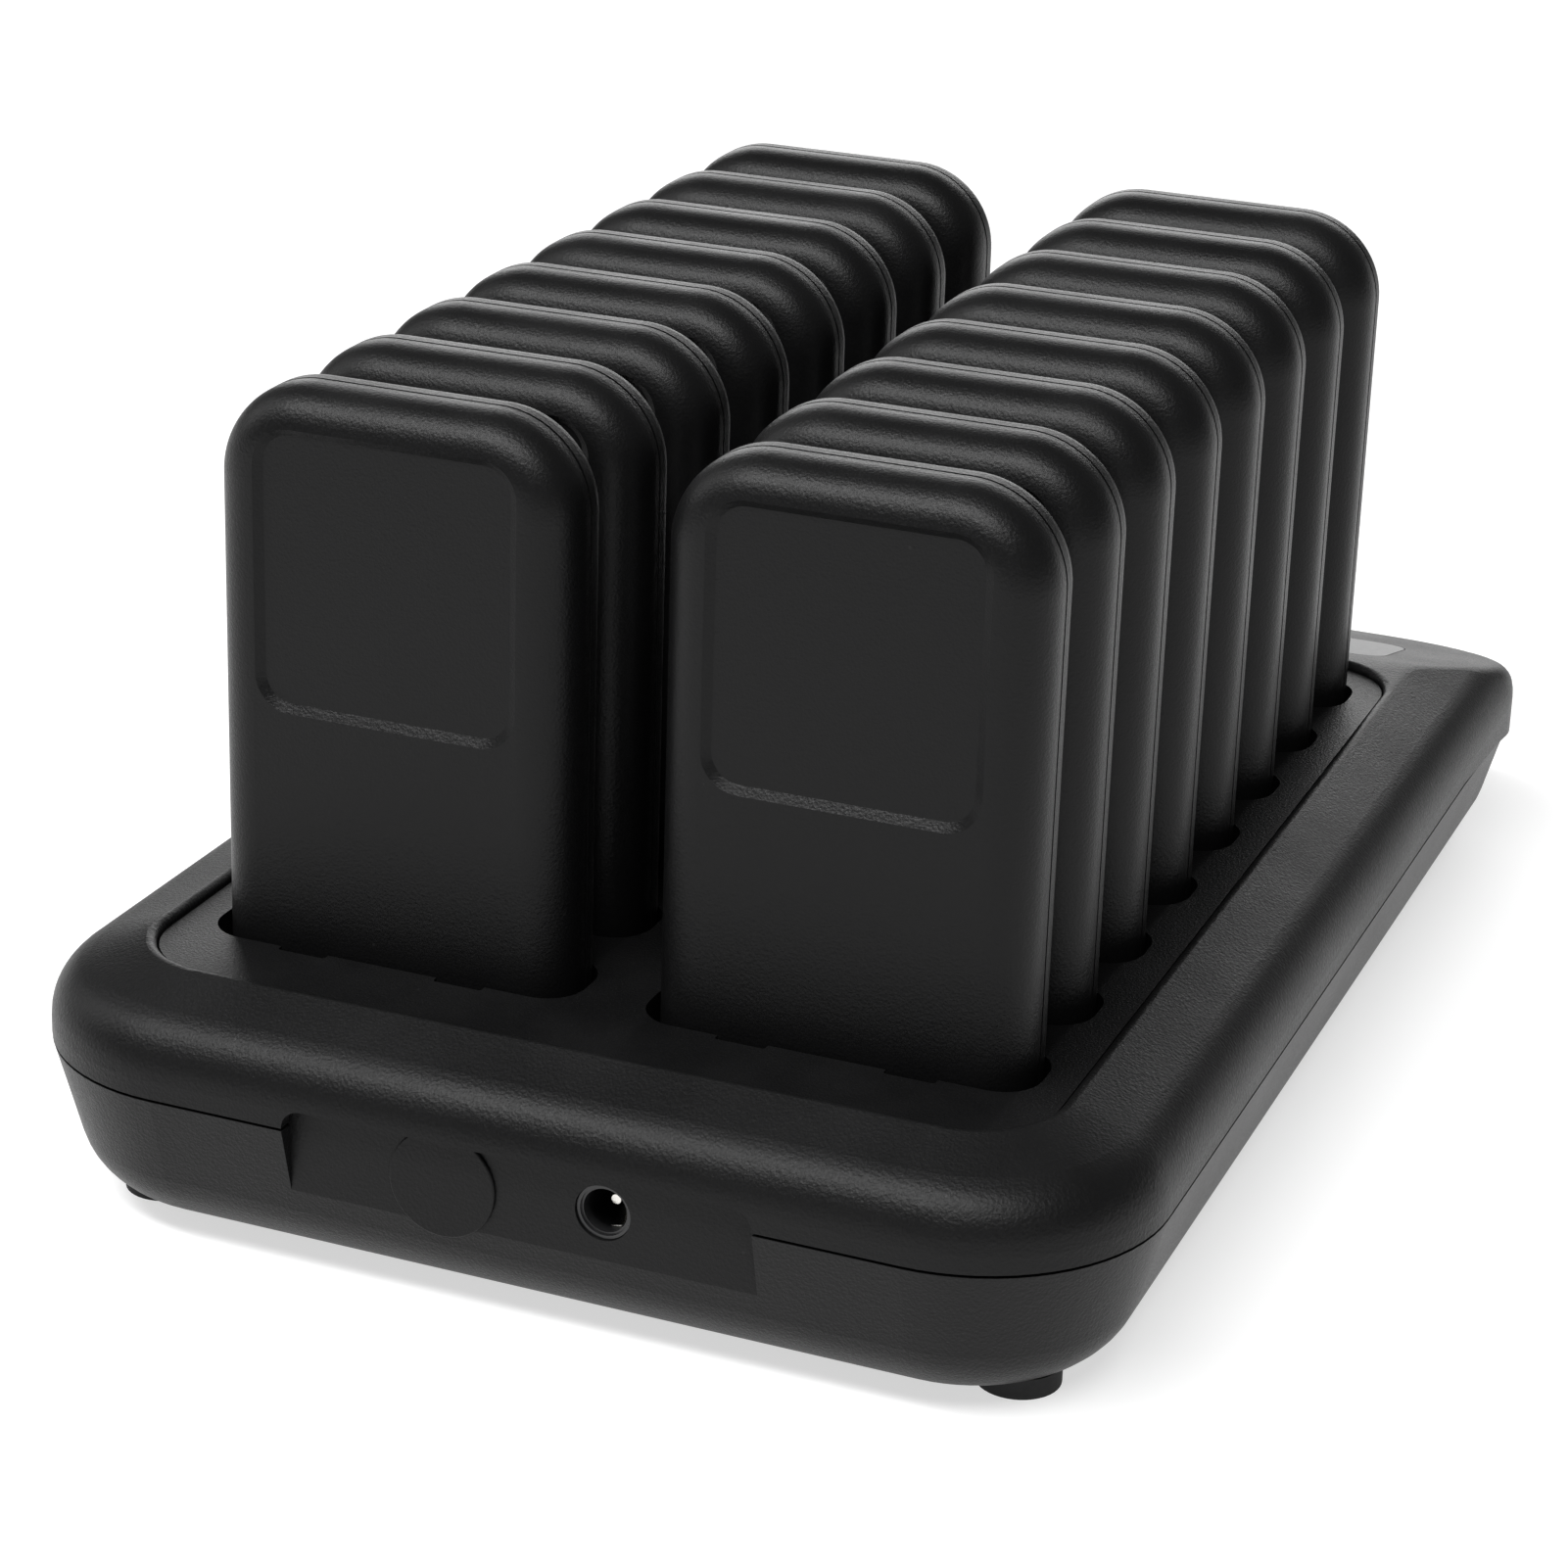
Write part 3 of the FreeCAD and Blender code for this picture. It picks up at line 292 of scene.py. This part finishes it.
@dataclass(frozen=True)
class SolderMask:
    """Circuit board laminate: lacquer over raised copper tracks, and tinned vias."""

    name: str
    lacquer: Colour = (0.008, 0.06, 0.022)
    copper: Colour = (0.03, 0.14, 0.05)
    tin: Colour = (0.55, 0.53, 0.48)
    pitch_mm: float = 5.0
    weave_mm: float = 0.4

    def material(self) -> bpy.types.Material:
        """Build the finish as a material."""
        bench = Bench(self.name)
        tracks = bench.tracks(self.pitch_mm)
        vias = bench.cells(self.pitch_mm * 0.8).below(0.09)
        weave = bench.noise(self.weave_mm)
        base = bench.blend(tracks * 0.8 + weave * 0.2, self.lacquer, self.copper)
        raised = tracks * 0.6 + vias * 0.4
        bench.set(Base_Color=bench.blend(vias, base, self.tin), Metallic=vias)
        bench.set(Roughness=0.32 + weave * 0.12, Normal=bench.bump(raised, 0.04, 0.5))
        return bench.material


Finish = Union[ErodedPlastic, GlossyPlate, PlainFinish, SolderMask]


def dress(piece: bpy.types.Object, material: bpy.types.Material) -> None:
    """Give an object one material all over."""
    slots = piece.data.materials
    if not slots:
        slots.append(material)
    for index in range(len(slots)):
        slots[index] = material


def deselect_all() -> None:
    """Leave object mode with nothing selected."""
    if bpy.context.object and bpy.context.object.mode != "OBJECT":
        bpy.ops.object.mode_set(mode="OBJECT")
    bpy.ops.object.select_all(action="DESELECT")


def pick_faces(test: Callable[[Vector, Vector], bool]) -> None:
    """Select, in edit mode, the faces for which a test holds.

    Args:
        test: Takes a face's centre and normal.
    """
    mesh = bmesh.from_edit_mesh(bpy.context.object.data)
    for face in mesh.faces:
        face.select_set(test(face.calc_center_median(), face.normal))
    mesh.select_flush_mode()
    bmesh.update_edit_mesh(bpy.context.object.data)


def push_out(along_mm: Number, up_mm: Number = 0.0) -> None:
    """Extrude the selected faces towards the back and up, in millimetres."""
    move = (0.0, along_mm * MM, up_mm * MM)
    bpy.ops.mesh.extrude_region_move(TRANSFORM_OT_translate={"value": move})


def apply_modifier(piece: bpy.types.Object, name: str, kind: str, **settings: Number) -> None:
    """Add a modifier and apply it.

    Args:
        piece: The active object.
        name: The modifier's name.
        kind: Its type.
        settings: Its attributes.
    """
    modifier = piece.modifiers.new(name, kind)
    for key, value in settings.items():
        setattr(modifier, key, value)
    bpy.ops.object.modifier_apply(modifier=name)


def finish_piece(piece: bpy.types.Object, body: str, material: bpy.types.Material) -> None:
    """Put a finished piece's place in its mesh, dress it and let it ride.

    Args:
        piece: The object just modelled.
        body: The body it moves with.
        material: Its finish.
    """
    deselect_all()
    piece.select_set(True)
    bpy.context.view_layer.objects.active = piece
    bpy.ops.object.transform_apply(location=True, rotation=True, scale=True)
    bpy.ops.object.shade_smooth_by_angle(angle=math.radians(35.0))
    dress(piece, material)
    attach(piece, body)
    LOG.info("%s: %d faces", piece.name, len(piece.data.polygons))


@dataclass
class PowerInlet:
    """The metal and plastic details seen in the mouth of the power socket, in millimetres."""

    mouth_ahead: float = 1.9
    collar_outer: float = 4.0
    collar_bore: float = 3.3
    collar_step: float = 0.4
    collar_depth: float = 1.6
    collar_wall: float = 0.12
    leaf_aside: Point = (1.5, 2.3, -2.8)
    leaf_width: float = 2.6
    leaf_length: float = 0.6
    leaf_thick: float = 0.25
    leaf_tilt: float = -12.0
    leaf_fold: tuple[tuple[float, float], ...] = ((1.2, 0.3), (1.7, 1.4), (1.2, 0.1))
    leaf_edge: float = 0.08

    def mouth(self) -> Vector:
        """Return the middle of the socket's mouth, in metres."""
        low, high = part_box("socket_pin")
        middle = (low + high) / 2
        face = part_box("power_socket")[0].y
        return Vector((middle.x, face - self.mouth_ahead * MM, middle.z))

    def collar(self, finish: bpy.types.Material) -> None:
        """Turn the stepped collar inside the panel hole.

        Args:
            finish: The collar's material.
        """
        deselect_all()
        bpy.ops.mesh.primitive_circle_add(vertices=64, radius=self.collar_outer * MM,
                                          fill_type="NGON", location=self.mouth(),
                                          rotation=(math.radians(90.0), 0.0, 0.0))
        piece = bpy.context.object
        piece.name = "inlet_collar"
        bpy.ops.object.mode_set(mode="EDIT")
        bpy.ops.mesh.select_all(action="SELECT")
        inset = (self.collar_outer - self.collar_bore) / 2
        for depth in (self.collar_step, self.collar_depth):
            bpy.ops.mesh.inset(thickness=inset * MM)
            push_out(depth)
        bpy.ops.mesh.delete(type="FACE")
        bpy.ops.object.mode_set(mode="OBJECT")
        apply_modifier(piece, "wall", "SOLIDIFY", thickness=self.collar_wall * MM, offset=1.0)
        finish_piece(piece, "base", finish)

    def leaf(self, finish: bpy.types.Material) -> None:
        """Fold the spring leaf that touches the outside of the plug.

        Args:
            finish: The leaf's material.
        """
        deselect_all()
        place = self.mouth() + Vector(self.leaf_aside) * MM
        tilt = (0.0, math.radians(self.leaf_tilt), 0.0)
        bpy.ops.mesh.primitive_cube_add(size=1.0, location=place, rotation=tilt)
        piece = bpy.context.object
        piece.name = "inlet_leaf"
        piece.scale = Vector((self.leaf_width, self.leaf_length, self.leaf_thick)) * MM
        bpy.ops.object.transform_apply(location=False, rotation=False, scale=True)
        bpy.ops.object.mode_set(mode="EDIT")
        bpy.ops.mesh.select_mode(type="FACE")
        for run, rise in self.leaf_fold:
            far = max(vertex.co.y for vertex in bmesh.from_edit_mesh(piece.data).verts)
            pick_faces(lambda centre, normal: normal.y > 0.7 and centre.y > far - 0.2 * MM)
            push_out(run, rise)
        bpy.ops.object.mode_set(mode="OBJECT")
        apply_modifier(piece, "edge", "BEVEL", width=self.leaf_edge * MM, segments=2)
        finish_piece(piece, "base", finish)


class FrameCoat:
    """Gives every part of the fixed frame its own finish."""

    def finishes(self) -> dict[str, Finish]:
        """Return the finish of each kind of part, by the end of the part's name."""
        pager = ErodedPlastic("pager_plastic", roughness=0.36, grain_mm=0.28, depth_mm=0.075)
        steel = PlainFinish("screw_steel", (0.42, 0.42, 0.43), 0.32, 1.0, 0.25, Surface.BRUSHED)
        gold = PlainFinish("gold_contact", (0.9, 0.62, 0.26), 0.24, 1.0, 0.3)
        motor = PlainFinish("motor_can", (0.66, 0.65, 0.62), 0.26, 1.0, 0.3, Surface.BRUSHED)
        black = PlainFinish("component_black", (0.018, 0.018, 0.02), 0.5, 0.0, 0.35, Surface.CAST)
        return {
            "lower_case": ErodedPlastic("lower_case_plastic"),
            "upper_case": ErodedPlastic("upper_case_plastic"),
            "deck_window": GlossyPlate("smoked_window"),
            "slot_tray": ErodedPlastic("tray_plastic", colour=(0.0022, 0.0022, 0.0023), grain_mm=0.24),
            "rubber_feet": PlainFinish("foot_rubber", (0.01, 0.01, 0.0105), 0.82, 0.0, 0.8, Surface.CAST),
            "charging_board": SolderMask("charging_laminate"),
            "charging_pins": gold,
            "board_components": black,
            "radio_module": PlainFinish("tinned_can", (0.6, 0.6, 0.6), 0.3, 1.0, 0.4, Surface.BRUSHED),
            "board_screws": steel,
            "case_screws": steel,
            "power_socket": PlainFinish("socket_plastic", (0.006, 0.006, 0.0065), 0.38),
            "socket_pin": PlainFinish("plated_pin", (0.82, 0.8, 0.76), 0.16, 1.0, 0.3),
            "blanking_plug": ErodedPlastic("plug_plastic", roughness=0.46),
            "front_shell": pager,
            "rear_shell": pager,
            "circuit_board": SolderMask("pager_laminate", (0.01, 0.045, 0.02), pitch_mm=2.6),
            "battery": PlainFinish("cell_foil", (0.62, 0.63, 0.65), 0.3, 0.9, 1.6, Surface.CAST),
            "vibration_motor": motor,
            "buzzer": black,
            "charging_pads": gold,
            "screws": steel,
            "lamps": PlainFinish("milky_lamp", (0.78, 0.8, 0.82), 0.25),
        }

    def dress_all(self) -> None:
        """Dress every carried-over part."""
        materials = {kind: finish.material() for kind, finish in self.finishes().items()}
        for name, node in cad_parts.items():
            kind = name if name in materials else "_".join(name.split("_")[2:])
            dress(node, materials[kind])
            LOG.info("%s: %s", name, materials[kind].name)


@dataclass(frozen=True)
class Softbox:
    """A rectangular area light that faces a point, in metres and watts."""

    name: str
    place: Point
    target: Point
    size: tuple[float, float]
    power: float

    def hang(self) -> None:
        """Add the light to the scene."""
        data = bpy.data.lights.new(self.name, "AREA")
        data.shape = "RECTANGLE"
        data.size, data.size_y = self.size
        data.energy = self.power
        lamp = bpy.data.objects.new(self.name, data)
        direction = Vector(self.target) - Vector(self.place)
        turn = direction.to_track_quat("-Z", "Y").to_matrix().to_4x4()
        lamp.matrix_world = Matrix.Translation(self.place) @ turn
        bpy.context.scene.collection.objects.link(lamp)


@dataclass
class Studio:
    """Floor, lights and the camera."""

    azimuth: float = 21.444
    elevation: float = 20.583
    roll: float = 1.861
    camera_at: Point = (0.209361, -0.569082, 0.279472)
    lens: float = 92.82
    sensor: float = 36.0
    shift: tuple[float, float] = (0.0, -0.0625)
    floor_size: float = 12.0
    floor_middle: Point = (0.0, 1.5, 0.0)
    floor_glow: float = 0.62
    room_light: float = 0.18
    softboxes: tuple[Softbox, ...] = (
        Softbox("key_box", (-0.2, -0.8, 1.4), (0.0, 0.0, 0.05), (2.0, 0.36), 40.0),
        Softbox("back_box", (-0.6, 1.9, 0.62), (0.0, 0.0, 0.1), (1.7, 0.9), 15.0),
        Softbox("left_box", (-1.5, -0.1, 0.8), (0.0, 0.0, 0.08), (0.7, 0.9), 4.0),
    )

    def floor(self) -> None:
        """Lay a wide pale floor that glows a little, like a light table."""
        bpy.ops.mesh.primitive_plane_add(size=self.floor_size, location=self.floor_middle)
        floor = bpy.context.object
        floor.name = "floor"
        bench = Bench("pale_floor")
        bench.set(Base_Color=(0.5, 0.5, 0.5, 1.0), Roughness=0.9, Specular_IOR_Level=0.1)
        bench.set(Emission_Color=(1.0, 1.0, 1.0, 1.0), Emission_Strength=self.floor_glow)
        dress(floor, bench.material)

    def camera(self) -> None:
        """Set up the camera from its angles and its place."""
        angles = (self.azimuth, self.elevation, self.roll)
        azimuth, elevation, roll = (math.radians(angle) for angle in angles)
        flat = math.cos(elevation)
        back = Vector((math.sin(azimuth) * flat, -math.cos(azimuth) * flat, math.sin(elevation)))
        level = Vector((math.cos(azimuth), math.sin(azimuth), 0.0))
        upright = back.cross(level)
        right = level * math.cos(roll) + upright * math.sin(roll)
        top = upright * math.cos(roll) - level * math.sin(roll)
        data = bpy.data.cameras.new("camera")
        data.lens = self.lens
        data.sensor_width = self.sensor
        data.shift_x, data.shift_y = self.shift
        camera = bpy.data.objects.new("camera", data)
        turn = Matrix((right, top, back)).transposed().to_4x4()
        camera.matrix_world = Matrix.Translation(self.camera_at) @ turn
        bpy.context.scene.collection.objects.link(camera)
        bpy.context.scene.camera = camera

    def lights(self) -> None:
        """Hang the softboxes and set the even room light."""
        for softbox in self.softboxes:
            softbox.hang()
        world = bpy.data.worlds.new("room")
        world.use_nodes = True
        background = world.node_tree.nodes["Background"]
        background.inputs["Color"].default_value = (1.0, 1.0, 1.0, 1.0)
        background.inputs["Strength"].default_value = self.room_light
        bpy.context.scene.world = world
        bpy.context.scene.view_settings.view_transform = "Standard"

    def build(self) -> None:
        """Set the whole stage."""
        deselect_all()
        self.floor()
        self.camera()
        self.lights()


def main() -> None:
    """Build the stage, dress the frame and add the details."""
    logging.basicConfig(level=logging.INFO, format="%(message)s")
    Studio().build()
    FrameCoat().dress_all()
    inlet = PowerInlet()
    inlet.collar(PlainFinish("collar_plastic", (0.015, 0.015, 0.016), 0.3).material())
    inlet.leaf(PlainFinish("leaf_metal", (0.75, 0.74, 0.7), 0.2, 1.0, 0.3, Surface.BRUSHED).material())


if __name__ == "__main__":
    main()
